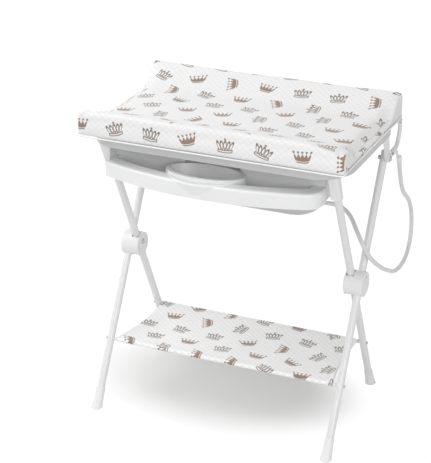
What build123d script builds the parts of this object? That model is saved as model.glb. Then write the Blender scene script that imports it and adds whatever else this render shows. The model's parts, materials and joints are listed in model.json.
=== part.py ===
from build123d import *
import math
import os

# Folding changing table: a bath tub on a scissor stand, with a padded changing board hinged over
# it. Millimetres, +Z up, +X to the right, -Y to the user. Everything is built about the line of
# the stand's pivots, which runs along X at y = 0. export() then moves it by frame_shift_y, which
# puts the origin on the floor below the middle of the rigid parts' box.

# ---------------------------------------------------------------- driving dimensions
frame_shift_y = 14.0

# Along X the board stands over the rim, and the legs stand in from the rim's ends. Heights of the
# tub, tray, board and pad are set from the hub's height, and drops are measured down from the rim.
board_half_length = 398.0
board_overhang = 8.0
pad_overhang = 2.0
outer_leg_inset = 18.5
leg_side_step = 25.5

# Stand: a lean is measured from upright and is positive where the top leans to the rear.
hub_height = 459.0
outer_lean = 28.85
inner_lean = -26.3
tube_d = 22.2
tube_wall = 1.2
pivot_reach = 364.8
fold_angle = 48.0
outer_tube_over = 20.0
inner_tube_over = 36.0
tube_foot_gap = 14.0
foot_length = 62.0
foot_top_d = 26.4
foot_base_d = 36.5
foot_waist_d = 28.6

# Hub drums
drum_d = 75.0
drum_drop = 9.0
drum_inner_depth = 16.0
drum_outer_depth = 16.5
drum_edge = 3.0
slot_inner_wall = 4.5
groove_r = 29.0
groove_width = 4.5
groove_depth = 1.8
groove_arc = 74.0
bolt_d = 8.0
bolt_head_d = 14.0
bolt_head_t = 4.5
bolt_end_wall = 3.5
hub_screw_up = 14.0
screw_d = 4.0
screw_head_d = 8.0
screw_head_t = 2.6
hub_screw_length = 9.0

# Shelf between the legs
shelf_height = 188.0
rod_d = 9.5
rod_screw_d = 5.0
rod_screw_length = 16.0
rod_head_d = 10.0
rod_head_t = 3.5
hem_wall = 1.2
shelf_front_gap = 21.5
shelf_rear_gap = 15.0
shelf_edge_dip = 12.0

# Bath tub
rim_front = -245.0
rim_rear = 227.0
rim_front_corner = 105.0
rim_rear_corner = 66.0
rim_over_hub = 422.0
rim_depth = 29.0
rim_edge = 5.0
tub_wall = 3.0
basin_end_ledge = 72.0
basin_top_front = -157.0
basin_top_rear = 189.0
basin_top_corner = 90.0
basin_depth = 213.0
basin_low_left = -100.0
basin_low_right = 250.0
basin_low_front = -108.0
basin_low_rear = 117.0
basin_low_corner = 74.0
basin_heel = 40.0

# Front sockets and rear brackets under the rim
socket_drop = 111.0
socket_width = 31.0
socket_low_depth = 26.0
socket_low_y = -158.0
socket_top_depth = 36.0
socket_top_y = -203.0
socket_corner = 6.0
socket_flange_size = (66.0, 42.0)
socket_flange_step = 17.0
socket_flange_y = -197.0
socket_post_steps = ((43.0, -205.0), (28.0, -189.0))
socket_flange_t = 4.0
seat_plate_drop = 11.0
cap_r = 12.0
cap_centre_up = 40.0
cap_play = 0.5
bracket_front = 117.0
bracket_rear = 165.0
bracket_wall = 3.3
bracket_lobe_r = 12.0
bracket_toe = (-22.0, 14.0)
bracket_flange_reach = 26.0
post_r = 6.0

# Organiser tray and soap bowl
tray_x = -8.5
tray_drop = 78.0
tray_height = 45.0
tray_leg_gap = 21.5
tray_bow_y = -288.0
tray_end_y = -228.0
tray_back = -161.0
tray_left_corner = 12.0
tray_right_corner = 48.0
tray_edge = 8.0
shoulder_edge = 5.0
tray_wall = 3.0
ledge_bow_y = -251.0
ledge_end_y = -193.0
ledge_inset = 30.5
ledge_x = -16.0
tray_notch_leg_gap = 18.0
tray_notch_y = -190.5
tray_panel_inset = 5.5
tray_panel_drop = 4.0
tray_post_inset = 39.5
tray_post_y = -151.0
tray_lug = (20.0, 18.0, 4.0)
bowl_x = -26.0
bowl_y = -208.0
bowl_top_radii = (109.0, 54.0)
bowl_low_radii = (90.0, 38.0)
bowl_depth = 40.0
bowl_wall = 2.2
bowl_lip = 8.0
bowl_lip_t = 3.5
bowl_play = 2.0
collar_wall = 9.0
collar_rise = 5.0
shoulder_y = -222.0
shoulder_rise = 2.5
shoulder_top_radii = (107.0, 77.0)
shoulder_low_radii = (86.0, 62.0)

# Changing board, its pad, hinges and arms
board_front = -250.0
board_rear = 255.5
board_thickness = 4.0
board_corner = 14.0
rest_gap = 0.3
pad_ridge_depth = 34.0
pad_front_reach = 142.0
pad_rear_reach = 130.0
pad_rear_step = 78.0
pad_ridge_rise = 78.0
pad_valley_rise = 29.0
pad_rear_rise = 83.0
hinge_drop = 8.8
hinge_pin_d = 5.0
hinge_leaf_t = 2.6
hinge_leaf_r = 6.6
hinge_plate_t = 2.0
hinge_plate_reach = 24.0
arm_leg_step = 18.0
arm_d = 12.7
arm_wall = 1.0
arm_paddle_t = 4.0
arm_paddle_r = 11.0
arm_eye_width = 6.6
arm_eye_r = 6.3

# Drain, plug and hose
drain_x = 173.0
drain_y = -18.0
drain_neck_r = 11.0
drain_flange_r = 16.0
drain_flange_t = 3.0
elbow_r = 10.0
sump_drop = 17.5
outlet_drop = 12.0
outlet_r = 8.5
outlet_length = 22.0
outlet_turn = 64.7
plug_flange_r = 14.0
plug_flange_t = 3.0
plug_length = 9.0
ring_r = 8.0
ring_wire_d = 2.6
hose_d = 13.0
hose_first_run = 82.1
hook_ring_wall = 3.0
hook_width = 10.0
hook_plate_t = 5.0
hook_socket_r = 8.0
hook_socket_length = 16.0
hook_hole_d = 4.0

# Clearances
tube_fit = 0.15
pin_fit = 0.05
side_play = 0.4

# ---------------------------------------------------------------- shared places
rim_half_length = board_half_length - board_overhang
pad_half_length = board_half_length + pad_overhang
outer_leg_x = rim_half_length - outer_leg_inset
inner_leg_x = outer_leg_x - leg_side_step
drum_inner_face = inner_leg_x - drum_inner_depth
drum_split = (outer_leg_x + inner_leg_x) / 2
drum_outer_face = outer_leg_x + drum_outer_depth
shelf_front_half = outer_leg_x - shelf_front_gap
shelf_rear_half = inner_leg_x - shelf_rear_gap
basin_top_right = rim_half_length - basin_end_ledge
basin_top_left = -basin_top_right
socket_flange_place = (inner_leg_x - socket_flange_step, socket_flange_y)
tray_half_length = inner_leg_x - tray_leg_gap
ledge_half_length = tray_half_length - ledge_inset
tray_notch = (tray_notch_leg_gap - inner_leg_x, tray_notch_y)
tray_panel_half_length = tray_half_length - tray_panel_inset
tray_post_offset = tray_half_length - tray_post_inset
arm_x = outer_leg_x + arm_leg_step
rim_top = hub_height + rim_over_hub
rim_low = rim_top - rim_depth
basin_low = rim_top - basin_depth
socket_low = rim_top - socket_drop
seat_plate = rim_top - seat_plate_drop
tray_top = rim_top - tray_drop
tray_low = tray_top - tray_height
tray_panel_top = rim_top - tray_panel_drop
collar_top = tray_top + collar_rise
bowl_low = collar_top - bowl_depth
shoulder_top = tray_top + shoulder_rise
pad_ridge_top = rim_top + pad_ridge_rise
pad_valley = rim_top + pad_valley_rise
pad_rear_top = rim_top + pad_rear_rise
sump_height = basin_low - sump_drop
outlet_height = basin_low - outlet_drop
tube_r = tube_d / 2
outer_floor = -hub_height / math.cos(math.radians(outer_lean))
inner_floor = -hub_height / math.cos(math.radians(inner_lean))
outer_shelf = (shelf_height - hub_height) / math.cos(math.radians(outer_lean))
inner_shelf = (shelf_height - hub_height) / math.cos(math.radians(inner_lean))
board_low = rim_top + rest_gap
board_top = board_low + board_thickness
pad_low = board_top + rest_gap
deck_low = rim_top - tub_wall
rim_mid_y = (rim_front + rim_rear) / 2
cheek_in = outer_leg_x + tube_r + side_play
cheek_out = cheek_in + bracket_wall


def leg_point(lean, along):
    """Y and Z of the point on a leg's axis that lies along mm above the pivot."""
    angle = math.radians(lean)
    return (math.sin(angle) * along, hub_height + math.cos(angle) * along)


def leg_frame(lean, x, along):
    """Location on a leg's axis, with its local Z up the leg."""
    y, z = leg_point(lean, along)
    return Location((x, y, z), (-lean, 0, 0))


tub_pivot_y, tub_pivot_z = leg_point(outer_lean, pivot_reach)
front_seat_y, front_seat_z = leg_point(inner_lean, pivot_reach)
hinge_y = board_rear + side_play
hinge_z = board_low - hinge_drop


def x_rod(radius, x_low, x_high, y, z):
    """Cylinder along X."""
    middle = Location(((x_low + x_high) / 2, y, z), (0, 90, 0))
    return middle * Cylinder(radius, x_high - x_low)


def z_rod(radius, x, y, z_low, z_high):
    """Upright cylinder."""
    return Pos(x, y, (z_low + z_high) / 2) * Cylinder(radius, z_high - z_low)


def slab(outline, z_low, z_high):
    """A plan outline as a plate between two heights."""
    return Pos(0, 0, z_low) * extrude(outline, z_high - z_low)


def side_plate(outline, x_low, x_high):
    """An outline drawn in the YZ plane as a plate between two x positions."""
    return Pos(x_low, 0, 0) * extrude(Plane.YZ * outline, x_high - x_low)


def plan_rounded(left, right, front, rear, corner):
    """Rounded rectangle in plan from its four sides."""
    middle = Pos((left + right) / 2, (front + rear) / 2)
    return middle * RectangleRounded(right - left, rear - front, corner)


def rim_outline(inset=0.0):
    """Plan of the tub's rim, rounder at its front corners than at its rear ones."""
    width = 2 * rim_half_length
    outline = Pos(0, rim_mid_y) * Rectangle(width, rim_rear - rim_front)
    outline = fillet(outline.vertices().sort_by(Axis.Y)[:2], rim_front_corner)
    outline = fillet(outline.vertices().sort_by(Axis.Y)[-2:], rim_rear_corner)
    return offset(outline, -inset) if inset else outline


def arc_band(half_length, bow_y, end_y, back_y):
    """Plan shape with a bowed front and a straight back, about x = 0."""
    bow = ThreePointArc((-half_length, end_y), (0, bow_y), (half_length, end_y))
    back = Polyline(
        (half_length, end_y), (half_length, back_y), (-half_length, back_y), (-half_length, end_y)
    )
    return make_face(bow + back)


def mirrored(shape):
    """The same piece for the left side."""
    return mirror(shape, about=Plane.YZ)


def both_sides(shape):
    """A piece and its mirror image as two solids of one node."""
    return Compound(children=[*shape.solids(), *mirrored(shape).solids()])


def export(name, shape):
    """Writes one node in the row frame."""
    export_step(Pos(0, frame_shift_y, 0) * shape, f"parts/{name}.step")


def export_pair(name, right):
    """Writes the right-hand piece and its mirror image as two nodes."""
    export(f"{name}_right", right)
    export(f"{name}_left", mirrored(right))


# ---------------------------------------------------------------- stand
def leg_tube(lean, x, floor_along, over, cross_holes):
    """One straight leg tube, from inside its foot to over mm above the tub's support line."""
    low = floor_along + tube_foot_gap
    length = pivot_reach + over - low
    aligned = (Align.CENTER, Align.CENTER, Align.MIN)
    tube = Cylinder(tube_r, length, align=aligned)
    tube -= Cylinder(tube_r - tube_wall, length, align=aligned)
    tube = leg_frame(lean, x, low) * tube
    for radius, x_low, x_high, along in cross_holes:
        tube -= x_rod(radius, x_low, x_high, *leg_point(lean, along))
    return tube


def foot(lean, x, floor_along):
    """Bell-shaped foot cap, turned about the leg and cut flat where it stands."""
    below = foot_base_d / 2 * math.tan(math.radians(abs(lean))) + 2.0
    flare = ThreePointArc(
        (foot_top_d / 2, foot_length),
        (foot_waist_d / 2, foot_length * 0.4),
        (foot_base_d / 2, -below),
    )
    bore_r = tube_r + tube_fit
    rest = Polyline(
        (foot_base_d / 2, -below),
        (0, -below),
        (0, tube_foot_gap),
        (bore_r, tube_foot_gap),
        (bore_r, foot_length),
        (foot_top_d / 2, foot_length),
    )
    cap = revolve(Plane.XZ * make_face(flare + rest), Axis.Z)
    cap = leg_frame(lean, x, floor_along) * cap
    under = Box(4 * foot_base_d, 4 * foot_base_d, 2 * foot_length)
    return cap - Pos(x, leg_point(lean, floor_along)[0], -foot_length) * under


def swing_slot(x_low, x_high):
    """Room that the inner leg needs in its drum, from open to folded, above and below the bolt."""
    half = tube_r + side_play
    reach = drum_d
    leans = (inner_lean, inner_lean + fold_angle)
    room = Sketch()
    for lean in leans:
        room += Rot(0, 0, -lean) * Rectangle(2 * half, 2 * reach)
    for sign in (1, -1):
        rays = [
            (sign * reach * math.sin(math.radians(lean)), sign * reach * math.cos(math.radians(lean)))
            for lean in leans
        ]
        room += make_face(Polyline((0, 0), *rays, close=True))
    return side_plate(Pos(0, hub_height) * room, x_low, x_high)


def drum(x_low, x_high, rounded_x):
    """A blank half drum with the edge at rounded_x rounded."""
    blank = x_rod(drum_d / 2, x_low, x_high, 0, hub_height - drum_drop)
    rim = blank.edges().filter_by(GeomType.CIRCLE).sort_by(lambda e: abs(e.center().X - rounded_x))
    return fillet(rim[0], drum_edge)


def bolt_bore(x_low, x_high):
    """Hole for the pivot bolt."""
    return x_rod(bolt_d / 2 + pin_fit, x_low, x_high, 0, hub_height)


def hub_inner():
    """Drum half round the inner leg, with the slot that the leg swings in."""
    half = drum(drum_inner_face, drum_split, drum_inner_face)
    slot_low = drum_inner_face + slot_inner_wall
    slot_high = inner_leg_x + tube_r + side_play
    half -= swing_slot(slot_low, slot_high)
    half -= bolt_bore(drum_inner_face - 1, drum_split + 1)
    ring = Circle(groove_r + groove_width / 2) - Circle(groove_r - groove_width / 2)
    for side in (0, 180):
        spread = math.radians(groove_arc / 2)
        wedge = make_face(
            Polyline(
                (0, 0),
                (drum_d * math.cos(spread), drum_d * math.sin(spread)),
                (drum_d * math.cos(spread), -drum_d * math.sin(spread)),
                close=True,
            )
        )
        crescent = Pos(0, hub_height - drum_drop) * (ring & (Rot(0, 0, side) * wedge))
        half -= side_plate(crescent, drum_inner_face, drum_inner_face + groove_depth)
    return half


def hub_outer():
    """Drum half clamped on the outer leg, with a blind bolt bore and a sunk screw."""
    half = drum(drum_split, drum_outer_face, drum_outer_face)
    half -= leg_frame(outer_lean, outer_leg_x, 0) * Cylinder(tube_r + tube_fit, 3 * drum_d)
    half -= bolt_bore(drum_split - 1, drum_outer_face - bolt_end_wall)
    screw_y, screw_z = leg_point(outer_lean, hub_screw_up)
    half -= x_rod(screw_d / 2 + pin_fit, outer_leg_x, drum_outer_face, screw_y, screw_z)
    sink = drum_outer_face - screw_head_t
    half -= x_rod(screw_head_d / 2 + pin_fit, sink, drum_outer_face + 1, screw_y, screw_z)
    return half


def pivot_bolt():
    """Bolt along the fold axis, its head on the inner face of the drum."""
    head = x_rod(bolt_head_d / 2, drum_inner_face - bolt_head_t, drum_inner_face, 0, hub_height)
    head = fillet(head.edges().filter_by(GeomType.CIRCLE).sort_by(Axis.X)[0], 1.5)
    end = drum_outer_face - bolt_end_wall - side_play
    return head + x_rod(bolt_d / 2, drum_inner_face, end, 0, hub_height)


def hub_screw():
    """Screw that keeps the drum from turning on the outer leg."""
    screw_y, screw_z = leg_point(outer_lean, hub_screw_up)
    low = drum_outer_face - screw_head_t
    head = x_rod(screw_head_d / 2, low, drum_outer_face - 0.6, screw_y, screw_z)
    return head + x_rod(screw_d / 2, drum_outer_face - hub_screw_length, low, screw_y, screw_z)


def flat_plug():
    """Stopper in the top end of an outer leg."""
    top = leg_frame(outer_lean, outer_leg_x, pivot_reach + outer_tube_over)
    aligned = (Align.CENTER, Align.CENTER, Align.MIN)
    button = top * Cylinder(tube_r, 3.0, align=aligned)
    button = fillet(button.edges().filter_by(GeomType.CIRCLE).sort_by(Axis.Z)[-1], 2.0)
    stem_down = (Align.CENTER, Align.CENTER, Align.MAX)
    return button + top * Cylinder(tube_r - tube_wall - tube_fit, 8.0, align=stem_down)


def domed_plug():
    """Round-topped stopper in the top end of an inner leg. The tub's front rests on it."""
    end = pivot_reach + inner_tube_over
    centre = pivot_reach + cap_centre_up
    aligned = (Align.CENTER, Align.CENTER, Align.MIN)
    neck = leg_frame(inner_lean, inner_leg_x, end) * Cylinder(cap_r, centre - end, align=aligned)
    dome = leg_frame(inner_lean, inner_leg_x, centre) * Sphere(cap_r)
    below = leg_frame(inner_lean, inner_leg_x, end) * Cylinder(
        3 * cap_r, 3 * cap_r, align=(Align.CENTER, Align.CENTER, Align.MAX)
    )
    stem = leg_frame(inner_lean, inner_leg_x, end) * Cylinder(
        tube_r - tube_wall - tube_fit, 18.0, align=(Align.CENTER, Align.CENTER, Align.MAX)
    )
    return neck + (dome - below) + stem


def rod_end(leg_x):
    """X where a shelf rod's end meets the curved inside of the leg's outer wall."""
    return leg_x + math.sqrt((tube_r - tube_wall) ** 2 - (rod_d / 2) ** 2) - pin_fit


def shelf_rod(leg_x, place):
    """Cross rod that ends inside the outer wall of each leg, tapped for its end screws."""
    end = rod_end(leg_x)
    rod = x_rod(rod_d / 2, -end, end, *place)
    for side in (-1, 1):
        inner_end = side * (end - rod_screw_length)
        outer_end = side * (end + 1)
        low, high = sorted((inner_end, outer_end))
        rod -= x_rod(rod_screw_d / 2 + pin_fit, low, high, *place)
    return rod


def rod_screw(leg_x, place):
    """Screw through a leg's outer wall into the end of a shelf rod."""
    face = leg_x + tube_r
    shank_end = rod_end(leg_x) - rod_screw_length + 1
    head = x_rod(rod_head_d / 2, face, face + rod_head_t, *place)
    head = fillet(head.edges().filter_by(GeomType.CIRCLE).sort_by(Axis.X)[-1], 1.5)
    return head + x_rod(rod_screw_d / 2, shank_end, face, *place)


def shelf_fabric(front_place, rear_place):
    """Cloth shelf: a sleeve round each rod and a sheet between them, with hollowed side edges."""
    bore = rod_d / 2 + rest_gap
    sleeve_r = bore + hem_wall
    cloth = Part()
    for half, place in ((shelf_front_half, front_place), (shelf_rear_half, rear_place)):
        cloth += x_rod(sleeve_r, -half, half, *place)
    front_y, rear_y = front_place[0], rear_place[0]
    mid_y = (front_y + rear_y) / 2
    waist = (shelf_front_half + shelf_rear_half) / 2 - shelf_edge_dip
    plan = make_face(
        Line((-shelf_front_half, front_y), (shelf_front_half, front_y))
        + ThreePointArc((shelf_front_half, front_y), (waist, mid_y), (shelf_rear_half, rear_y))
        + Line((shelf_rear_half, rear_y), (-shelf_rear_half, rear_y))
        + ThreePointArc((-shelf_rear_half, rear_y), (-waist, mid_y), (-shelf_front_half, front_y))
    )
    cloth += slab(plan, front_place[1] - hem_wall / 2, front_place[1] + hem_wall / 2)
    for place in (front_place, rear_place):
        cloth -= x_rod(bore, -shelf_front_half - 1, shelf_front_half + 1, *place)
    return cloth


# ---------------------------------------------------------------- bath tub
def basin(inset, heel):
    """The basin's outer form, or its inner form when inset by the wall."""
    top = plan_rounded(
        basin_top_left + inset,
        basin_top_right - inset,
        basin_top_front + inset,
        basin_top_rear - inset,
        basin_top_corner - inset,
    )
    low = plan_rounded(
        basin_low_left + inset,
        basin_low_right - inset,
        basin_low_front + inset,
        basin_low_rear - inset,
        basin_low_corner - inset,
    )
    form = loft([Pos(0, 0, basin_low + inset) * low, Pos(0, 0, rim_top) * top])
    return fillet(form.faces().sort_by(Axis.Z)[0].edges(), heel)


socket_posts = [(inner_leg_x - step, y) for step, y in socket_post_steps]
bracket_posts = [(outer_leg_x, bracket_front + 9.0), (outer_leg_x, bracket_rear - 9.0)]


def screw_post(x, y, z_low):
    """Boss that hangs from the deck, with a pilot hole."""
    boss = z_rod(post_r, x, y, z_low, deck_low)
    return boss - z_rod(screw_d / 2 + pin_fit, x, y, z_low - 1, z_low + 7.0)


def bath_tub():
    """Rim with a hollow underside, basin, drain hole and the bosses for what hangs from it."""
    rim = slab(rim_outline(), rim_low, rim_top)
    rim = fillet(rim.faces().sort_by(Axis.Z)[-1].edges(), rim_edge)
    rim -= slab(rim_outline(tub_wall), rim_low, deck_low)
    tub = rim + basin(0, basin_heel)
    for x, y in socket_posts + bracket_posts:
        for side in (-1, 1):
            tub += screw_post(side * x, y, seat_plate)
    for side in (-1, 1):
        tub += screw_post(tray_x + side * tray_post_offset, tray_post_y, tray_top)
    tub -= basin(tub_wall, basin_heel - tub_wall)
    floor = basin_low + tub_wall
    return tub - z_rod(drain_neck_r + pin_fit, drain_x, drain_y, basin_low - 1, floor + 1)


def front_socket():
    """Socket over an inner leg's end, open to the rear so that the leg can leave it."""
    low = RectangleRounded(socket_width, socket_low_depth, socket_corner)
    top = RectangleRounded(socket_width, socket_top_depth, socket_corner)
    sections = [
        Pos(inner_leg_x, socket_low_y, socket_low) * low,
        Pos(inner_leg_x, socket_top_y, seat_plate) * top,
    ]
    socket = loft(sections)
    flange = Pos(*socket_flange_place) * RectangleRounded(*socket_flange_size, socket_corner)
    socket += slab(flange, seat_plate - socket_flange_t, seat_plate)
    angle = math.radians(inner_lean)
    room = cap_r + cap_play
    face_y = front_seat_y - room * math.cos(angle)
    face_z = front_seat_z + room * math.sin(angle)
    roof = leg_point(inner_lean, pivot_reach + cap_centre_up)[1] + cap_r + cap_play

    def on_face(z):
        return (face_y + (z - face_z) * math.tan(angle), z)

    below = socket_low - 10.0
    path = Polyline(on_face(below), on_face(roof), (rim_rear, roof), (rim_rear, below), close=True)
    socket -= side_plate(make_face(path), inner_leg_x - room, inner_leg_x + room)
    around = Pos(0, rim_mid_y) * Rectangle(3 * rim_half_length, 3 * rim_half_length)
    around -= rim_outline(tub_wall + rest_gap)
    socket -= slab(around, rim_low - rest_gap, seat_plate + 1)
    for x, y in socket_posts:
        socket -= z_rod(screw_d / 2 + pin_fit, x, y, seat_plate - socket_flange_t - 1, seat_plate + 1)
    return socket


def rear_bracket():
    """Cheek outside the outer leg's end, with a flange screwed under the rim."""
    lobe = Pos(tub_pivot_y, tub_pivot_z) * Circle(bracket_lobe_r)
    middle_y = (bracket_front + bracket_rear) / 2
    middle_z = seat_plate - bracket_wall / 2
    head = Pos(middle_y, middle_z) * Rectangle(bracket_rear - bracket_front, bracket_wall)
    toe_y, toe_up = bracket_toe
    toe = Pos(tub_pivot_y + toe_y, tub_pivot_z + toe_up) * Circle(bracket_lobe_r)
    outline = make_hull(lobe.edges() + toe.edges() + head.edges())
    cheek = side_plate(outline, cheek_in, cheek_out)
    flange = Box(bracket_flange_reach, bracket_rear - bracket_front, bracket_wall)
    flange_x = cheek_out - bracket_flange_reach / 2
    bracket = cheek + Pos(flange_x, middle_y, middle_z) * flange
    bracket -= x_rod(bolt_d / 2 + pin_fit, cheek_in - 1, cheek_out + 1, tub_pivot_y, tub_pivot_z)
    for x, y in bracket_posts:
        bracket -= z_rod(screw_d / 2 + pin_fit, x, y, seat_plate - bracket_wall - 1, seat_plate + 1)
    return bracket


def upright_screw(x, y, head_top, grip):
    """Pan-head screw driven upwards, its head's upper face at head_top."""
    head = z_rod(screw_head_d / 2, x, y, head_top - screw_head_t, head_top)
    head = fillet(head.edges().filter_by(GeomType.CIRCLE).sort_by(Axis.Z)[0], 1.0)
    return head + z_rod(screw_d / 2, x, y, head_top, head_top + grip + 6.0)


def tub_screws():
    """All the screws that hold sockets, brackets and tray under the tub."""
    screws = []
    for side in (-1, 1):
        for x, y in socket_posts:
            screws.append(
                upright_screw(side * x, y, seat_plate - socket_flange_t, socket_flange_t)
            )
        for x, y in bracket_posts:
            screws.append(upright_screw(side * x, y, seat_plate - bracket_wall, bracket_wall))
        lug_t = tray_lug[2]
        screws.append(
            upright_screw(tray_x + side * tray_post_offset, tray_post_y, tray_top - lug_t, lug_t)
        )
    return Compound(children=[s for screw in screws for s in screw.solids()])


def tub_pivot_bolt():
    """Bolt through hinge arm, bracket cheek and outer leg, with its nut on the inner side."""
    place = (tub_pivot_y, tub_pivot_z)
    paddle_out = cheek_out + arm_paddle_t
    head = x_rod(bolt_head_d / 2, paddle_out, paddle_out + bolt_head_t, *place)
    head = fillet(head.edges().filter_by(GeomType.CIRCLE).sort_by(Axis.X)[-1], 1.8)
    leg_inner = outer_leg_x - tube_r
    nut = extrude(RegularPolygon(bolt_head_d / 2, 6), 5.0)
    nut = Location((leg_inner - side_play - 5.0, *place), (0, 90, 0)) * nut
    return head + nut + x_rod(bolt_d / 2, leg_inner - side_play, paddle_out, *place)


# ---------------------------------------------------------------- tray and bowl
def oval(radii, grow=0.0):
    """Plan ellipse at the soap bowl."""
    return Pos(bowl_x, bowl_y) * Ellipse(radii[0] + grow, radii[1] + grow)


def tray_outline():
    """Plan of the tray, tight at its left front corner and wide at its right one."""
    plan = Pos(tray_x, 0) * arc_band(tray_half_length, tray_bow_y, tray_end_y, tray_back)
    front_corners = plan.vertices().sort_by(Axis.Y)[:2].sort_by(Axis.X)
    plan = fillet(front_corners[0], tray_left_corner)
    front_corners = plan.vertices().sort_by(Axis.X)[-2:].sort_by(Axis.Y)
    return fillet(front_corners[0], tray_right_corner)


def socket_notch():
    """Plan of the corner that the tray leaves free for the left front socket."""
    x, y = tray_notch
    width = x - (tray_x - tray_half_length) + 1.0
    reach = tray_back - y + 1.0
    return Pos(x - width / 2, y + reach / 2) * Rectangle(width, reach)


def shoulder():
    """Tapered front of the tray round the bowl, which stands out from the tray's bow."""
    centre = Pos(bowl_x, shoulder_y)
    low = Pos(0, 0, tray_low) * (centre * Ellipse(*shoulder_low_radii))
    top = Pos(0, 0, shoulder_top) * (centre * Ellipse(*shoulder_top_radii))
    form = loft([low, top])
    return fillet(form.faces().sort_by(Axis.Z)[-1].edges(), shoulder_edge)


def organiser_tray():
    """Bow-fronted tray with two pockets, an oval collar for the bowl and a tall panel behind."""
    plan = tray_outline()
    bore = oval(bowl_top_radii, bowl_play)
    collar = oval(bowl_top_radii, bowl_play + collar_wall)
    pockets = Pos(ledge_x, 0) * arc_band(
        ledge_half_length, ledge_bow_y, ledge_end_y, tray_back - tray_wall
    )
    pockets -= collar
    block = slab(plan, tray_low, tray_top)
    block = fillet(block.faces().sort_by(Axis.Z)[-1].edges().sort_by(Axis.Y)[:-1], tray_edge)
    block -= slab(socket_notch(), tray_low - 1, tray_top + 1)
    block += slab(collar, tray_low, collar_top)
    block += shoulder()
    for pocket in pockets.faces():
        block -= slab(pocket, tray_low + tray_wall, tray_top + 1)
    block -= slab(bore, tray_low - 1, collar_top + 1)
    hollow = offset(plan - socket_notch(), -tray_wall)
    for pocket in pockets.faces():
        hollow -= offset(pocket, tray_wall)
    hollow -= collar
    for region in hollow.faces():
        block -= slab(region, tray_low, tray_top - tray_wall)
    panel = plan_rounded(
        tray_x - tray_panel_half_length,
        tray_x + tray_panel_half_length,
        tray_back - tray_wall,
        tray_back,
        0.9,
    )
    panel -= oval(bowl_top_radii, bowl_lip + 2 * bowl_play)
    block += slab(panel, tray_top - tray_wall, tray_panel_top)
    for side in (-1, 1):
        x = tray_x + side * tray_post_offset
        width, reach, thickness = tray_lug
        lug = Pos(x, tray_back + reach / 2 - 0.5, tray_top - thickness / 2) * Box(
            width, reach + 1.0, thickness
        )
        block += lug
        block -= z_rod(screw_d / 2 + pin_fit, x, tray_post_y, tray_top - thickness - 1, tray_top + 1)
    return block


def soap_bowl():
    """Oval dish whose lip rests on the tray's collar."""
    outer = loft([Pos(0, 0, bowl_low) * oval(bowl_low_radii), Pos(0, 0, collar_top) * oval(bowl_top_radii)])
    outer = fillet(outer.faces().sort_by(Axis.Z)[0].edges(), 8.0)
    lip_top = collar_top + bowl_lip_t
    bowl = outer + slab(oval(bowl_top_radii, bowl_lip), collar_top, lip_top)
    inner = loft(
        [
            Pos(0, 0, bowl_low + bowl_wall) * oval(bowl_low_radii, -bowl_wall),
            Pos(0, 0, lip_top) * oval(bowl_top_radii, -bowl_wall),
        ]
    )
    inner = fillet(inner.faces().sort_by(Axis.Z)[0].edges(), 8.0 - bowl_wall)
    return bowl - inner


# ---------------------------------------------------------------- drain and hose
outlet_dir = (math.cos(math.radians(outlet_turn)), math.sin(math.radians(outlet_turn)))
hose_start = (
    drain_x + outlet_length * outlet_dir[0],
    drain_y + outlet_length * outlet_dir[1],
    outlet_height,
)
hose_knee = (
    hose_start[0] + hose_first_run * outlet_dir[0],
    hose_start[1] + hose_first_run * outlet_dir[1],
    outlet_height,
)
hose_route = [
    hose_start,
    hose_knee,
    (297.7, 86.3, 641.3),
    (361.0, 5.0, 591.8),
    (395.0, 6.0, 531.0),
    (411.0, 77.0, 473.0),
    (407.0, 132.0, 444.0),
    (409.0, 221.0, 398.0),
    (409.0, 314.0, 394.0),
    (403.0, 390.0, 423.0),
    (400.0, 411.0, 501.0),
    (400.0, 370.0, 581.0),
    (401.0, 265.0, 647.0),
    (403.0, 227.0, 757.0),
]


def drain_elbow():
    """Drain fitting under the floor: neck in the floor hole, flange, round sump and side outlet."""
    floor = basin_low + tub_wall
    fitting = z_rod(drain_neck_r, drain_x, drain_y, basin_low, floor)
    fitting += z_rod(drain_flange_r, drain_x, drain_y, basin_low - drain_flange_t, basin_low)
    fitting += z_rod(elbow_r, drain_x, drain_y, sump_height, basin_low - drain_flange_t)
    fitting += Pos(drain_x, drain_y, sump_height) * Sphere(elbow_r)
    along = Plane(origin=(drain_x, drain_y, outlet_height), z_dir=(*outlet_dir, 0))
    fitting += along * Cylinder(outlet_r, outlet_length, align=(Align.CENTER, Align.CENTER, Align.MIN))
    seat_r = drain_neck_r - 3.0
    return fitting - z_rod(seat_r, drain_x, drain_y, sump_height, floor + 1)


def drain_plug():
    """Plug that drops into the drain, with a pull ring."""
    floor = basin_low + tub_wall
    plug = z_rod(plug_flange_r, drain_x, drain_y, floor + rest_gap, floor + rest_gap + plug_flange_t)
    plug = fillet(plug.edges().filter_by(GeomType.CIRCLE).sort_by(Axis.Z)[-1], 1.2)
    stem_r = drain_neck_r - 3.0 - side_play
    plug += z_rod(stem_r, drain_x, drain_y, floor + rest_gap - plug_length, floor + rest_gap)
    ring_z = floor + rest_gap + plug_flange_t + ring_r - ring_wire_d / 4
    return plug + Location((drain_x, drain_y, ring_z), (90, 0, 0)) * Torus(ring_r, ring_wire_d / 2)


def drain_hose():
    """Straight runs joined by tangent arcs. Returns the tube, the arc radii and the length."""
    points = [Vector(*p) for p in hose_route]
    radii = []
    for before, here, after in zip(points, points[1:], points[2:]):
        first, second = here - before, after - here
        turn = math.radians(first.get_angle(second))
        radii.append(0.45 * min(first.length, second.length) / math.tan(turn / 2))
    path = FilletPolyline(*points, radius=radii)
    start = Plane(origin=points[0], z_dir=points[1] - points[0])
    tube = sweep(start * Circle(hose_d / 2), path=path)
    return tube, radii, path.length


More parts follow.
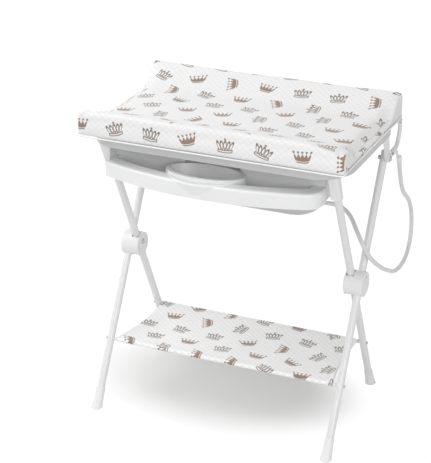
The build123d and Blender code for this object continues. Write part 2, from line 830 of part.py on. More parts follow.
def arm_path():
    """YZ corners of the hinge arm, from its paddle at the tub pivot to its eye at the board."""
    return [
        (tub_pivot_y + 21.0, tub_pivot_z + 8.0),
        (tub_pivot_y + 70.0, tub_pivot_z + 22.0),
        (hinge_y + 10.0, hinge_z - 28.0),
        (hinge_y + 2.6, hinge_z - 9.0),
    ]


def hose_hook():
    """Clip on the right hinge arm that holds the hose's free end up, above the water line."""
    start, knee = (Vector(arm_x, *p) for p in arm_path()[:2])
    arm_dir = (knee - start).normalized()
    ring_at = start + arm_dir * 16.0
    ring_plane = Plane(origin=ring_at, z_dir=arm_dir)
    ring_r_out = arm_d / 2 + hook_ring_wall
    end, before = Vector(*hose_route[-1]), Vector(*hose_route[-2])
    up = (end - before).normalized()
    socket = Plane(origin=end, z_dir=up) * Cylinder(
        hook_socket_r, hook_socket_length, align=(Align.CENTER, Align.CENTER, Align.MIN)
    )
    top = end + up * hook_socket_length
    plate_x = arm_x + arm_d / 2 + hook_ring_wall - hook_plate_t / 2
    half = hook_width / 2
    plate = make_face(
        Polyline(
            (ring_at.Y - half, ring_at.Z),
            (ring_at.Y + half, ring_at.Z),
            (top.Y + half, top.Z - half),
            (top.Y - half, top.Z - half),
            close=True,
        )
    )
    hook = side_plate(plate, plate_x, plate_x + hook_plate_t) + socket
    hook += ring_plane * Cylinder(ring_r_out, hook_width)
    hook -= ring_plane * Cylinder(arm_d / 2 + side_play / 2, 3 * hook_width)
    hole_y = (ring_at.Y + top.Y) / 2
    hole_z = (ring_at.Z + top.Z) / 2 - 2.0
    return hook - x_rod(hook_hole_d / 2, plate_x - 20, plate_x + 20, hole_y, hole_z)


# ---------------------------------------------------------------- changing board
def changer_board():
    """Flat panel under the pad."""
    plan = plan_rounded(-board_half_length, board_half_length, board_front, board_rear, board_corner)
    return slab(plan, board_low, board_top)


def changer_pad():
    """Plain stand-in for the pad: raised along the front and the rear, low in the middle."""
    profile = Polyline(
        (board_front - 4.0, pad_low),
        (board_front - 9.0, pad_ridge_top - 12.0),
        (board_front - 4.0, pad_ridge_top),
        (board_front + pad_ridge_depth, pad_ridge_top - pad_ridge_depth / 2),
        (board_front + pad_front_reach, pad_valley),
        (board_rear - pad_rear_reach, pad_valley),
        (board_rear - pad_rear_step, pad_valley + 20.0),
        (board_rear - 6.0, pad_rear_top),
        (board_rear, pad_rear_top - 6.0),
        (board_rear, pad_low),
        close=True,
    )
    return side_plate(make_face(profile), -pad_half_length, pad_half_length)


def changer_hinge():
    """Two leaves on a plate under the board's rear edge, either side of the arm's eye."""
    leaf_gap = arm_eye_width / 2 + side_play / 2
    lobe = Pos(hinge_y, hinge_z) * Circle(hinge_leaf_r)
    root = Pos(hinge_y - hinge_plate_reach / 2 - 6.0, board_low - hinge_plate_t / 2) * Rectangle(
        hinge_plate_reach, hinge_plate_t
    )
    leaf = make_hull(lobe.edges() + root.edges())
    hinge = Part()
    for low in (arm_x - leaf_gap - hinge_leaf_t, arm_x + leaf_gap):
        hinge += side_plate(leaf, low, low + hinge_leaf_t)
    hinge += side_plate(root, arm_x - leaf_gap - hinge_leaf_t, arm_x + leaf_gap + hinge_leaf_t)
    return hinge - x_rod(hinge_pin_d / 2 + pin_fit, arm_x - 20, arm_x + 20, hinge_y, hinge_z)


def hinge_pin():
    """Pin through the hinge leaves and the arm's eye."""
    half = arm_eye_width / 2 + side_play / 2 + hinge_leaf_t
    pin = x_rod(hinge_pin_d / 2, arm_x - half, arm_x + half, hinge_y, hinge_z)
    heads = x_rod(hinge_pin_d / 2 + 1.2, arm_x - half - 1.0, arm_x - half, hinge_y, hinge_z)
    heads += x_rod(hinge_pin_d / 2 + 1.2, arm_x + half, arm_x + half + 1.0, hinge_y, hinge_z)
    return pin + heads


def hinge_arm():
    """Bent tube round the rim's rear edge, flattened to a paddle below and an eye above."""
    points = [Vector(arm_x, *p) for p in arm_path()]
    path = FilletPolyline(*points, radius=[36.0, 26.0])
    start = Plane(origin=points[0], z_dir=points[1] - points[0])
    arm = sweep(start * Circle(arm_d / 2), path=path)
    arm -= sweep(start * Circle(arm_d / 2 - arm_wall), path=path)
    pivot = Pos(tub_pivot_y, tub_pivot_z) * Circle(arm_paddle_r)
    toe = Pos(points[0].Y + 5.0, points[0].Z + 1.5) * Circle(arm_d / 2)
    paddle = make_hull(pivot.edges() + toe.edges())
    arm += side_plate(paddle, cheek_out, cheek_out + arm_paddle_t)
    eye = Pos(hinge_y, hinge_z) * Circle(arm_eye_r)
    neck = Pos(points[-1].Y, points[-1].Z - 3.0) * Circle(arm_eye_r - 1.0)
    tongue = make_hull(eye.edges() + neck.edges())
    arm += side_plate(tongue, arm_x - arm_eye_width / 2, arm_x + arm_eye_width / 2)
    arm -= x_rod(bolt_d / 2 + pin_fit, cheek_out - 1, arm_x + arm_d, tub_pivot_y, tub_pivot_z)
    return arm - x_rod(hinge_pin_d / 2 + pin_fit, arm_x - arm_d, arm_x + arm_d, hinge_y, hinge_z)


# ---------------------------------------------------------------- build
os.makedirs("parts", exist_ok=True)

bolt_hole = bolt_d / 2 + pin_fit
screw_hole = screw_d / 2 + pin_fit
rod_hole = rod_d / 2 + pin_fit
rod_screw_hole = rod_screw_d / 2 + pin_fit


def through(radius, x, along):
    """A hole right through a leg."""
    return (radius, x - tube_d, x + tube_d, along)


outer_holes = [
    through(bolt_hole, outer_leg_x, 0),
    through(bolt_hole, outer_leg_x, pivot_reach),
    (screw_hole, outer_leg_x, outer_leg_x + tube_d, hub_screw_up),
    (rod_hole, outer_leg_x - tube_d, outer_leg_x, outer_shelf),
    (rod_screw_hole, outer_leg_x, outer_leg_x + tube_d, outer_shelf),
]
inner_holes = [
    through(bolt_hole, inner_leg_x, 0),
    (rod_hole, inner_leg_x - tube_d, inner_leg_x, inner_shelf),
    (rod_screw_hole, inner_leg_x, inner_leg_x + tube_d, inner_shelf),
]
front_rod_place = leg_point(outer_lean, outer_shelf)
rear_rod_place = leg_point(inner_lean, inner_shelf)

export_pair("outer_leg", leg_tube(outer_lean, outer_leg_x, outer_floor, outer_tube_over, outer_holes))
export_pair("inner_leg", leg_tube(inner_lean, inner_leg_x, inner_floor, inner_tube_over, inner_holes))
export_pair("front_foot", foot(outer_lean, outer_leg_x, outer_floor))
export_pair("rear_foot", foot(inner_lean, inner_leg_x, inner_floor))
export_pair("hub_inner", hub_inner())
export_pair("hub_outer", hub_outer())
export("pivot_bolts", both_sides(pivot_bolt()))
export("hub_screws", both_sides(hub_screw()))
export("outer_leg_plugs", both_sides(flat_plug()))
export("inner_leg_plugs", both_sides(domed_plug()))
export("front_shelf_rod", shelf_rod(outer_leg_x, front_rod_place))
export("rear_shelf_rod", shelf_rod(inner_leg_x, rear_rod_place))
export("front_rod_screws", both_sides(rod_screw(outer_leg_x, front_rod_place)))
export("rear_rod_screws", both_sides(rod_screw(inner_leg_x, rear_rod_place)))
export("shelf_fabric", shelf_fabric(front_rod_place, rear_rod_place))

export("bath_tub", bath_tub())
export_pair("front_socket", front_socket())
export_pair("rear_bracket", rear_bracket())
export("tub_screws", tub_screws())
export("tub_pivot_bolts", both_sides(tub_pivot_bolt()))
export("organiser_tray", organiser_tray())
export("soap_bowl", soap_bowl())
export("drain_elbow", drain_elbow())
export("drain_plug", drain_plug())
export("hose_hook", hose_hook())
hose, hose_radii, hose_length = drain_hose()
export("drain_hose", hose)

export("changer_board", changer_board())
export("changer_pad", changer_pad())
export_pair("hinge_arm", hinge_arm())
export_pair("changer_hinge", changer_hinge())
export("hinge_pins", both_sides(hinge_pin()))

print("hose arc radii:", [round(r, 1) for r in hose_radii])
filled = hose.volume / (math.pi * (hose_d / 2) ** 2 * hose_length)
print(f"hose length {hose_length:.1f}, volume over section times length {filled:.4f}")
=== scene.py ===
"""Dresses the folding changing table: finishes, printed pad, cloth shelf, drain hose and studio."""

from __future__ import annotations

import json
import logging
import math
from dataclasses import dataclass
from enum import Enum
from typing import Sequence, Union

import bmesh
import bpy
import numpy as np
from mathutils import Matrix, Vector

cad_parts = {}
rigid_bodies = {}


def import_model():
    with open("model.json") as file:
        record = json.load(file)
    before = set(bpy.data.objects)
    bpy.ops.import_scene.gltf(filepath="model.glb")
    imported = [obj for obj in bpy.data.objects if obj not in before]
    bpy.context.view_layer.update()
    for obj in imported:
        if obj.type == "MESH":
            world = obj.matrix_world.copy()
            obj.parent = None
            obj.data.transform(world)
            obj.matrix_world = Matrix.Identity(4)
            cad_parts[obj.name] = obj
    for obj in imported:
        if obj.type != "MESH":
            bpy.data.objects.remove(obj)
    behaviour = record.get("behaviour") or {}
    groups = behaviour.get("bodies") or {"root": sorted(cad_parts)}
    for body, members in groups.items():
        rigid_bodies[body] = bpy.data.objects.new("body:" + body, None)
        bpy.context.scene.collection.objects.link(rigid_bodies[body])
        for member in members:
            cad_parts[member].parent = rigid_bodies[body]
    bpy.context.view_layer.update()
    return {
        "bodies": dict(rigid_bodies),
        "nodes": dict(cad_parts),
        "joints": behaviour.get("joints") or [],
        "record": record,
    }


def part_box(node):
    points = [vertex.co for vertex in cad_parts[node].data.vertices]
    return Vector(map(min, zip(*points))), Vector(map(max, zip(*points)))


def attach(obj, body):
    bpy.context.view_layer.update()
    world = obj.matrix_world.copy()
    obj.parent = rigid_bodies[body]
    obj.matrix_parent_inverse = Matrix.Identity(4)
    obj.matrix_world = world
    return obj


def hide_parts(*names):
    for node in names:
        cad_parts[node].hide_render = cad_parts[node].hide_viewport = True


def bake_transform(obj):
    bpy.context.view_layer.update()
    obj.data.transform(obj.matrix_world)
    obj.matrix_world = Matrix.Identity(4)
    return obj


LOG = logging.getLogger("changing_table")
Point = tuple[float, float, float]
Colour = tuple[float, float, float]
Span = tuple[float, float]
Head = tuple[Point, Point]
Piece = bpy.types.Object
Material = bpy.types.Material
Socket = bpy.types.NodeSocket
WHITE = (1.0, 1.0, 1.0, 1.0)
CLOTH_MAP = "Cloth"


class Body(str, Enum):
    """The rigid bodies that pieces ride on."""

    OUTER = "outer_frame"
    INNER = "inner_frame"
    TUB = "tub"
    CHANGER = "changer"
    PLUG = "plug"


# ---- shader expressions
Number = Union["Value", float, int]


class Value:
    """A number or vector socket that builds Math nodes when it is used in an expression."""

    def __init__(self, graph: "Graph", socket: Socket) -> None:
        """Wraps an output socket of a graph's node."""
        self.graph = graph
        self.socket = socket

    def _math(self, operation: str, *others: Number) -> "Value":
        """Adds a Math node on this value and others."""
        return self.graph.math(operation, self, *others)

    def __add__(self, other: Number) -> "Value":
        """Sum."""
        return self._math("ADD", other)

    __radd__ = __add__

    def __sub__(self, other: Number) -> "Value":
        """Difference."""
        return self._math("SUBTRACT", other)

    def __rsub__(self, other: Number) -> "Value":
        """Difference with a plain number first."""
        return self.graph.math("SUBTRACT", other, self)

    def __mul__(self, other: Number) -> "Value":
        """Product."""
        return self._math("MULTIPLY", other)

    __rmul__ = __mul__

    def __truediv__(self, other: Number) -> "Value":
        """Quotient."""
        return self._math("DIVIDE", other)

    def __abs__(self) -> "Value":
        """Absolute value."""
        return self._math("ABSOLUTE")

    def floor(self) -> "Value":
        """Whole part."""
        return self._math("FLOOR")

    def repeat(self, period: float) -> "Value":
        """Distance to the nearest multiple of a period."""
        return self._math("PINGPONG", period / 2)

    def below(self, edge: Number, soft: float) -> "Value":
        """1 where the value is under an edge, with a step of a soft width."""
        return self.graph.math("ADD", (edge - self) / soft, 0.5, clamp=True)

    def above(self, edge: Number, soft: float) -> "Value":
        """1 where the value is over an edge, with a soft step."""
        return self.graph.math("ADD", (self - edge) / soft, 0.5, clamp=True)

    def within(self, low: Number, high: Number, soft: float) -> "Value":
        """1 where the value lies between two edges."""
        return self.above(low, soft) * self.below(high, soft)

    def larger(self, other: Number) -> "Value":
        """The larger of two values."""
        return self._math("MAXIMUM", other)

    def beside(self, other: "Value") -> "Value":
        """Length of the two values as the sides of a right angle."""
        return self.graph.math("SQRT", self * self + other * other)


class Graph:
    """Node tree that is built from expressions."""

    def __init__(self, tree: bpy.types.NodeTree) -> None:
        """Empties a tree, to build in it."""
        self.tree = tree
        tree.nodes.clear()

    def node(self, kind: str, settings: dict | None = None, **inputs: object) -> bpy.types.Node:
        """Adds a node.

        Args:
            kind: The node's type name.
            settings: Properties of the node, set before its sockets.
            **inputs: Socket values or links, by socket name with _ for a space, or i0, i1 by place.

        Returns:
            The node.
        """
        made = self.tree.nodes.new(kind)
        for key, value in (settings or {}).items():
            setattr(made, key, value)
        for key, value in inputs.items():
            is_place = key[0] == "i" and key[1:].isdigit()
            socket = made.inputs[int(key[1:]) if is_place else key.replace("_", " ")]
            value = value.socket if isinstance(value, Value) else value
            if isinstance(value, Socket):
                self.tree.links.new(value, socket)
            else:
                socket.default_value = value
        return made

    def math(self, operation: str, *values: Number, clamp: bool = False) -> Value:
        """Adds a Math node.

        Args:
            operation: Blender's name of the operation.
            *values: Its operands.
            clamp: Whether the result is held between 0 and 1.

        Returns:
            The result.
        """
        inputs = {f"i{i}": v for i, v in enumerate(values)}
        made = self.node("ShaderNodeMath", {"operation": operation, "use_clamp": clamp}, **inputs)
        return Value(self, made.outputs[0])

    def seen(self) -> Value:
        """1 on rays that show the backdrop: camera, glossy and transmission rays."""
        rays = self.node("ShaderNodeLightPath").outputs
        value = Value(self, rays["Is Camera Ray"])
        for name in ("Is Glossy Ray", "Is Transmission Ray"):
            value = value.larger(Value(self, rays[name]))
        return value


class MaterialGraph(Graph):
    """Node tree of one material."""

    def __init__(self, name: str) -> None:
        """Makes an empty material.

        Args:
            name: The material's name.
        """
        self.material = bpy.data.materials.new(name)
        self.material.use_nodes = True
        super().__init__(self.material.node_tree)

    def colour(self, mask: Number, low: object, high: object) -> Socket:
        """Mixes two colours.

        Args:
            mask: 0 gives low and 1 gives high.
            low: A colour or a colour socket.
            high: A colour or a colour socket.

        Returns:
            The mixed colour's socket.
        """
        full = [c if isinstance(c, Socket) else (*c, 1.0) for c in (low, high)]
        made = self.node("ShaderNodeMix", {"data_type": "RGBA"}, i0=mask, i6=full[0], i7=full[1])
        return made.outputs[2]

    def noise(self, place: Socket, scale: float, detail: float = 3.0) -> Value:
        """Fine or broad noise, from 0 to 1."""
        made = self.node("ShaderNodeTexNoise", Vector=place, Scale=scale, Detail=detail)
        return Value(self, made.outputs["Fac"])

    def place(self) -> Socket:
        """Object coordinates, which are the row frame's."""
        return self.node("ShaderNodeTexCoord").outputs["Object"]

    def bump(self, height: Value, strength: float, distance: float) -> Socket:
        """Turns a height into a normal."""
        made = self.node("ShaderNodeBump", Strength=strength, Distance=distance, Height=height)
        return made.outputs["Normal"]

    def finish(self, **sockets: object) -> Material:
        """Adds the Principled shader and the output.

        Args:
            **sockets: Values and links for the shader.

        Returns:
            The finished material.
        """
        shader = self.node("ShaderNodeBsdfPrincipled", **sockets)
        self.node("ShaderNodeOutputMaterial", Surface=shader.outputs[0])
        return self.material


class InstanceGraph(Graph):
    """Geometry Nodes tree that lays copies of a shape on the mesh it is given."""

    def __init__(self, name: str, numbers: dict[str, float]) -> None:
        """Makes the tree and its sockets.

        Args:
            name: The tree's name.
            numbers: Each number input's name and value.
        """
        super().__init__(bpy.data.node_groups.new(name, "GeometryNodeTree"))
        face = self.tree.interface
        face.new_socket("Geometry", in_out="INPUT", socket_type="NodeSocketGeometry")
        for label, value in numbers.items():
            number = face.new_socket(label, in_out="INPUT", socket_type="NodeSocketFloat")
            number.default_value = value
        face.new_socket("Geometry", in_out="OUTPUT", socket_type="NodeSocketGeometry")
        self.given = self.node("NodeGroupInput").outputs

    def place_copies(self, finish: Material, **inputs: object) -> None:
        """Places the copies, makes them real, gives them a material and ends the tree.

        Args:
            finish: The copies' material.
            **inputs: Links for the node that places them.
        """
        copies = self.node("GeometryNodeInstanceOnPoints", **inputs)
        real = self.node("GeometryNodeRealizeInstances", Geometry=copies.outputs[0])
        dressed = self.node("GeometryNodeSetMaterial", Geometry=real.outputs[0], Material=finish)
        self.node("NodeGroupOutput", i0=dressed.outputs[0])

    def applied(self, piece: Piece, name: str) -> Piece:
        """Runs the tree on a piece and returns the plain mesh object that it makes."""
        return modified(piece, name, "NODES", node_group=self.tree)


# ---- finishes
@dataclass(frozen=True)
class Finish:
    """Surface whose colour drifts between two shades, under a fine relief.

    Each noise is its scale and its detail. Without a grain, the mottle makes the relief too.
    """

    name: str
    colour: Colour
    shade: Colour
    mottle: Span
    roughness: float
    roughness_span: float = 0.0
    grain: Span | None = None
    grain_roughens: bool = False
    relief: float = 0.0
    relief_depth: float = 0.0003
    metallic: float = 0.0
    coat: float = 0.0
    coat_roughness: float = 0.15

    def build(self) -> Material:
        """Makes the material."""
        g = MaterialGraph(self.name)
        place = g.place()
        mottle = g.noise(place, *self.mottle)
        grain = g.noise(place, *self.grain) if self.grain else mottle
        rough = grain if self.grain_roughens else mottle
        return g.finish(
            Base_Color=g.colour(mottle, self.shade, self.colour),
            Roughness=rough * self.roughness_span + self.roughness,
            Normal=g.bump(grain, self.relief, self.relief_depth),
            Metallic=self.metallic,
            Coat_Weight=self.coat,
            Coat_Roughness=self.coat_roughness,
        )


def cool_grey(level: float) -> Colour:
    """A pale grey with a trace of blue."""
    return (level, level + 0.002, level + 0.005)


def moulded(name: str, colour: Colour, shade: Colour, roughness: float, relief: float) -> Finish:
    """Injection-moulded plastic: broad flow marks under a fine grain.

    Args:
        name: The material's name.
        colour: Its lighter colour.
        shade: Its darker colour.
        roughness: Its least roughness.
        relief: Strength of the grain.

    Returns:
        The finish.
    """
    return Finish(
        name, colour, shade, (7.0, 2.0), roughness, 0.12,
        grain=(1400.0, 2.0), grain_roughens=True, relief=relief,
    )


PAINTED_TUBE = Finish(
    "painted_tube", cool_grey(0.78), cool_grey(0.74), (18.0, 3.0), 0.30, 0.10,
    grain=(900.0, 1.0), relief=0.05, relief_depth=0.0004, coat=0.25,
)
MOULDED_PLASTIC = moulded("moulded_plastic", cool_grey(0.82), cool_grey(0.79), 0.36, 0.12)
TRAY_PLASTIC = moulded("tray_plastic", cool_grey(0.82), cool_grey(0.80), 0.28, 0.05)
# Painted shade: the tub is the tray's white plastic, greyed to 0.55 all over to stand in for the
# shade that the pad's overhang casts on its rim.
TUB_PLASTIC_PAINTED_SHADE = moulded("tub_plastic", cool_grey(0.55), cool_grey(0.53), 0.28, 0.05)
WELT_VINYL = moulded("welt_vinyl", (0.86, 0.86, 0.86), (0.84, 0.84, 0.84), 0.39, 0.05)
ZINC_STEEL = Finish(
    "zinc_steel", (0.56, 0.57, 0.58), (0.448, 0.456, 0.464), (240.0, 3.0), 0.28, 0.20,
    relief=0.1, relief_depth=0.0002, metallic=0.9,
)
# Painted shade: near-black for the screws' cross recesses, which are really zinc and only dark in
# shade.
RECESS_PAINTED_SHADE = Finish("recess_painted_shade", (0.05, 0.05, 0.05), (0.03, 0.03, 0.03), (500.0, 3.0), 0.8)
SEWING_THREAD = Finish(
    "sewing_thread", (0.62, 0.60, 0.57), (0.496, 0.48, 0.456), (2500.0, 1.0), 0.85,
    relief=0.3, relief_depth=0.0002,
)
HOSE_VINYL = Finish(
    "hose_vinyl", (0.74, 0.745, 0.75), (0.68, 0.685, 0.69), (35.0, 3.0), 0.28, 0.15,
    grain=(600.0, 1.0), relief=0.08,
)


@dataclass(frozen=True)
class PrintedCloth:
    """Wipe-clean cloth: a faint diamond lattice under scattered crowns, filled and outlined.

    The pattern reads the piece's own UV map, which is in metres along and across the cloth.
    """

    name: str = "printed_cloth"
    ground: Colour = (0.82, 0.817, 0.82)
    lattice_colour: Colour = (0.70, 0.70, 0.69)
    lattice_pitch: float = 0.022
    lattice_line: float = 0.0016
    column_pitch: float = 0.112
    row_pitch: float = 0.070
    filled_unit: float = 0.0265
    outline_unit: float = 0.0300
    sway: float = 1.0
    filled_colour: Colour = (0.225, 0.135, 0.080)
    outline_colour: Colour = (0.150, 0.098, 0.065)
    weave: float = 1300.0
    sheen: float = 0.15
    seed: float = 3.0
    lattice_slope: float = 1.25
    lattice_share: float = 0.55
    ink: float = 0.92
    ink_edge: float = 0.05
    spike_pitch: float = 0.44
    fan_reach: float = 1.1
    edge: float = 0.001
    lying_share: float = 0.25
    filled_share: float = 0.5
    thread_relief: float = 0.35
    lattice_relief: float = 0.6

    def _filled_crown(self, x: Value, y: Value, soft: float) -> Value:
        """A solid crown whose five balled spikes fan out from a curved band."""
        bow, spread, flare = 0.22, 0.90, 0.36
        foot, peak, slope, side = -0.46, 0.34, 1.75, 0.98
        band_low, band_high, band_side = -0.66, -0.53, 0.66
        ball_height, ball_radius = 0.46, 0.115
        bent = y - bow * x * x
        fan = x / (spread + flare * y)
        spike = fan.repeat(self.spike_pitch)
        top = peak - slope * spike - bow * fan * fan
        body = bent.below(top, soft) * bent.above(foot, soft) * abs(fan).below(side, soft)
        band = bent.within(band_low, band_high, soft) * abs(x).below(band_side, soft)
        rise = bent - ball_height + bow * fan * fan
        ball = spike.beside(rise).below(ball_radius, soft)
        return body.larger(band).larger(ball * abs(fan).below(self.fan_reach, soft))

    def _outlined_crown(self, x: Value, y: Value, soft: float) -> Value:
        """A line-drawn crown: a curved band under a fan of five looped petals and a knob."""
        bow, spread, flare, droop = 0.18, 0.74, 0.50, 0.20
        band_low, band_high, band_side = -0.72, -0.42, 0.74
        hole_low, hole_high, hole_side = -0.63, -0.51, 0.65
        petal_half, petal_height, petal_drop = 0.205, 0.42, 0.02
        line_inner, line_outer = 0.60, 1.08
        knob_height, knob_radius = 0.54, 0.11
        bent = y - bow * x * x
        band = abs(x).below(band_side, soft) * bent.within(band_low, band_high, soft)
        hole = abs(x).below(hole_side, soft) * bent.within(hole_low, hole_high, soft)
        fan = x / (spread + flare * y)
        petal = fan.repeat(self.spike_pitch) / petal_half
        rise = (bent + petal_drop + droop * fan * fan) / petal_height
        loops = petal.beside(rise).within(line_inner, line_outer, soft * 3)
        loops = loops * bent.above(band_high, soft) * abs(fan).below(self.fan_reach, soft)
        knob = x.beside(bent - knob_height).below(knob_radius, soft)
        return (band * (1.0 - hole)).larger(loops).larger(knob)

    def build(self) -> Material:
        """Makes the material."""
        g = MaterialGraph(self.name)
        uv = g.node("ShaderNodeUVMap", {"uv_map": CLOTH_MAP}).outputs["UV"]
        split = g.node("ShaderNodeSeparateXYZ", Vector=uv)
        u, v = Value(g, split.outputs["X"]), Value(g, split.outputs["Y"])
        slant = v * self.lattice_slope
        gaps = [slope.repeat(self.lattice_pitch) for slope in (u + slant, u - slant)]
        lines = [gap.below(self.lattice_line, self.edge) for gap in gaps]
        line = lines[0].larger(lines[1])
        row = (v / self.row_pitch).floor()
        shift = u + row.repeat(2.0) * (self.column_pitch / 2)
        column = (shift / self.column_pitch).floor()
        x = shift - (column + 0.5) * self.column_pitch
        y = v - (row + 0.5) * self.row_pitch
        cell = g.node("ShaderNodeCombineXYZ", X=column, Y=row, Z=self.seed)
        chance = g.node("ShaderNodeTexWhiteNoise", Vector=cell.outputs[0])
        split = g.node("ShaderNodeSeparateColor", Color=chance.outputs["Color"])
        lying = Value(g, split.outputs[2]).above(1.0 - self.lying_share, self.edge)
        turn = (Value(g, split.outputs[0]) - 0.5) * self.sway + lying * (math.pi / 2)
        choice = Value(g, split.outputs[1]).above(1.0 - self.filled_share, self.edge)
        cos, sin = g.math("COSINE", turn), g.math("SINE", turn)
        unit = choice * (self.filled_unit - self.outline_unit) + self.outline_unit
        across = (x * cos + y * sin) / unit
        upward = (y * cos - x * sin) / unit
        filled = self._filled_crown(across, upward, self.ink_edge) * choice
        outlined = self._outlined_crown(across, upward, self.ink_edge) * (1.0 - choice)
        weave = g.node("ShaderNodeTexVoronoi", Vector=uv, Scale=self.weave)
        thread = Value(g, weave.outputs["Distance"])
        base = g.colour(line * self.lattice_share, self.ground, self.lattice_colour)
        base = g.colour(filled * self.ink, base, self.filled_colour)
        base = g.colour(outlined * self.ink, base, self.outline_colour)
        relief = thread * self.thread_relief + line * self.lattice_relief
        return g.finish(
            Base_Color=base,
            Roughness=thread * 0.1 + 0.5,
            Normal=g.bump(relief, 0.12, 0.0004),
            Sheen_Weight=self.sheen,
            Sheen_Roughness=0.5,
        )


@dataclass(frozen=True)
class StudioFloor:
    """White floor that glows white far out and runs into the white backdrop, and near the object
    shows the lamps' real soft shadow.

    Partly painted shadow: only inside a fixed ellipse around a point under the shelf does the glow
    give way to a grey matt floor, so the ellipse paints where the grey pool and its shadow lie, and
    stays put when the table moves.
    """

    name: str = "studio_floor"
    colour: Colour = (0.80, 0.80, 0.795)
    near_share: float = 0.10
    near: float = 0.45
    far: float = 1.00
    middle: Point = (-0.07, 0.06, 0.0)
    reach: Point = (0.52, 0.35, 1.0)
    glow: float = 1.05

    def build(self) -> Material:
        """Makes the material."""
        g = MaterialGraph(self.name)
        place = g.place()
        for operation, other in (("SUBTRACT", self.middle), ("DIVIDE", self.reach)):
            step = g.node("ShaderNodeVectorMath", {"operation": operation}, i0=place, i1=other)
            place = step.outputs[0]
        distance = g.node("ShaderNodeVectorMath", {"operation": "LENGTH"}, i0=place)
        reach = (Value(g, distance.outputs["Value"]) - self.near) / (self.far - self.near)
        spread = g.math("ADD", reach, 0.0, clamp=True)
        # Painted shadow pool: the glow is held low inside the ellipse, where the grey matt floor
        # and its real shadows show.
        share = spread * spread * (3.0 - 2.0 * spread) * (1.0 - self.near_share) + self.near_share
        matt = g.node("ShaderNodeBsdfDiffuse", Color=(*self.colour, 1.0))
        glow = g.node("ShaderNodeEmission", Color=WHITE, Strength=self.glow)
        parts = {"i0": g.seen() * share, "i1": matt.outputs[0], "i2": glow.outputs[0]}
        mix = g.node("ShaderNodeMixShader", **parts)
        g.node("ShaderNodeOutputMaterial", Surface=mix.outputs[0])
        return g.material


# ---- mesh helpers
def linked(name: str, data: bpy.types.ID) -> Piece:
    """Makes an object around a mesh, curve, lamp or camera and links it to the scene."""
    made = bpy.data.objects.new(name, data)
    bpy.context.scene.collection.objects.link(made)
    return made


def baked_copy(source: Piece, name: str) -> Piece:
    """Turns an object with modifiers into a plain mesh object and removes the source."""
    graph = bpy.context.evaluated_depsgraph_get()
    mesh = bpy.data.meshes.new_from_object(source.evaluated_get(graph), depsgraph=graph)
    bpy.data.objects.remove(source)
    mesh.name = name
    return linked(name, mesh)


def modified(piece: Piece, name: str, kind: str, **settings: object) -> Piece:
    """Runs one modifier on a piece.

    Args:
        piece: The piece, which is removed.
        name: The result's name.
        kind: The modifier's type.
        **settings: Its settings.

    Returns:
        The result, a plain mesh object.
    """
    modifier = piece.modifiers.new(kind.lower(), kind)
    for key, value in settings.items():
        setattr(modifier, key, value)
    return baked_copy(piece, name)


def set_finish(piece: Piece, material: Material) -> None:
    """Gives every face of a piece one material."""
    piece.data.materials.clear()
    piece.data.materials.append(material)


def closed_skin(name: str, rings: Sequence[Sequence[Point]]) -> Piece:
    """Links a skin over rings of points, with a face on the first and on the last.

    Args:
        name: The object's name.
        rings: Rings with the same number of points.

    Returns:
        The object.
    """
    bm = bmesh.new()
    made = [[bm.verts.new(place) for place in ring] for ring in rings]
    count = len(made[0])
    for near, far in zip(made, made[1:]):
        for i in range(count):
            j = (i + 1) % count
            bm.faces.new((near[i], near[j], far[j], far[i]))
    bm.faces.new(made[0])
    bm.faces.new(list(reversed(made[-1])))
    bmesh.ops.recalc_face_normals(bm, faces=bm.faces)
    mesh = bpy.data.meshes.new(name)
    bm.to_mesh(mesh)
    bm.free()
    return linked(name, mesh)


def smooth_tube(
    name: str, route: Sequence[Point], radius: float, steps: int, rounding: int
) -> Piece:
    """Links a round tube along a smooth line.

    Args:
        name: The object's name.
        route: The line's control points.
        radius: The tube's radius.
        steps: Steps from one control point to the next.
        rounding: Steps of the tube's section.

    Returns:
        The curve object.
    """
    curve = bpy.data.curves.new(name, "CURVE")
    curve.dimensions = "3D"
    curve.bevel_depth = radius
    curve.bevel_resolution = rounding
    curve.use_fill_caps = True
    spline = curve.splines.new("NURBS")
    spline.points.add(len(route) - 1)
    for point, place in zip(spline.points, route):
        point.co = (*place, 1.0)
    spline.order_u = 3
    spline.use_endpoint_u = True
    spline.resolution_u = steps
    return linked(name, curve)


def read_points(mesh: bpy.types.Mesh) -> np.ndarray:
    """Vertex positions of a mesh as an array."""
    points = np.empty(len(mesh.vertices) * 3)
    mesh.vertices.foreach_get("co", points)
    return points.reshape(-1, 3)


def write_points(mesh: bpy.types.Mesh, points: np.ndarray) -> None:
    """Puts positions back into a mesh."""
    mesh.vertices.foreach_set("co", points.ravel())
    mesh.update()


def smooth(low: float, high: float, value: np.ndarray) -> np.ndarray:
    """Smooth step from 0 to 1 between two values."""
    t = np.clip((value - low) / (high - low), 0.0, 1.0)
    return t * t * (3 - 2 * t)


def rounded_loop(corners: Sequence[tuple[float, float, float]], steps: int) -> np.ndarray:
    """A closed outline with its corners rounded.

    Args:
        corners: First coordinate, second coordinate and rounding radius of each corner.
        steps: Points in each corner's arc.

    Returns:
        The outline's points.
    """
    flat = [np.array(c[:2]) for c in corners]
    outline = []
    for i, here in enumerate(flat):
        back = flat[i - 1] - here
        ahead = flat[(i + 1) % len(flat)] - here
        back_length, ahead_length = np.linalg.norm(back), np.linalg.norm(ahead)
        turn = math.acos(float(np.clip(back @ ahead / (back_length * ahead_length), -1, 1)))
        cut = min(corners[i][2] / math.tan(turn / 2), 0.48 * back_length, 0.48 * ahead_length)
        start, end = here + back / back_length * cut, here + ahead / ahead_length * cut
        for k in range(steps + 1):
            t = k / steps
            outline.append((1 - t) ** 2 * start + 2 * t * (1 - t) * here + t * t * end)
    return np.array(outline)


